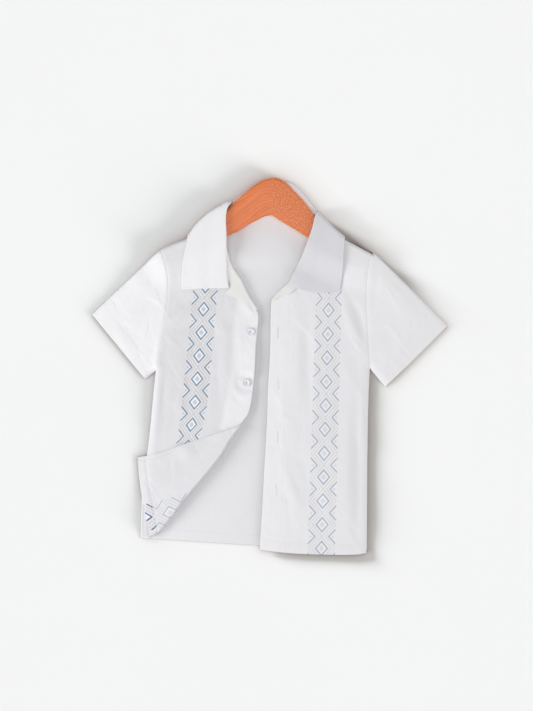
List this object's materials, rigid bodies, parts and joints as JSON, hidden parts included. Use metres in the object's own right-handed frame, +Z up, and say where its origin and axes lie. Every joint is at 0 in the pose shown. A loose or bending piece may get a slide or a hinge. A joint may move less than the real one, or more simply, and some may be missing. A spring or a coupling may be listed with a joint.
{
  "type": "guayabera shirt",
  "caption": "Child's short-sleeved guayabera shirt with a camp collar, laid open on its back round a wooden hanger, one lower front corner turned back.",
  "frame": {"origin": "on the surface the shirt lies on, under the middle of its outline", "axes": "+X towards the wearer's left, +Y from hem to neck, +Z up, away from the surface"},
  "size_m": [0.484, 0.5126, 0.0231],
  "materials": {
    "white_cotton": "soft matt white, finely corded along the grain",
    "button_white": "polished white",
    "hanger_wood": "satin varnish over reddish brown wood"
  },
  "bodies": {
    "root": {"back": "white_cotton", "front_right": "white_cotton", "front_left": "white_cotton", "sleeve_right": "white_cotton", "sleeve_left": "white_cotton", "collar": "white_cotton", "facing_right": "white_cotton", "facing_left": "white_cotton", "button_1": "button_white", "button_2": "button_white", "button_3": "button_white", "button_4": "button_white", "hanger_right": "hanger_wood", "hanger_left": "hanger_wood"}
  },
  "joints": []
}
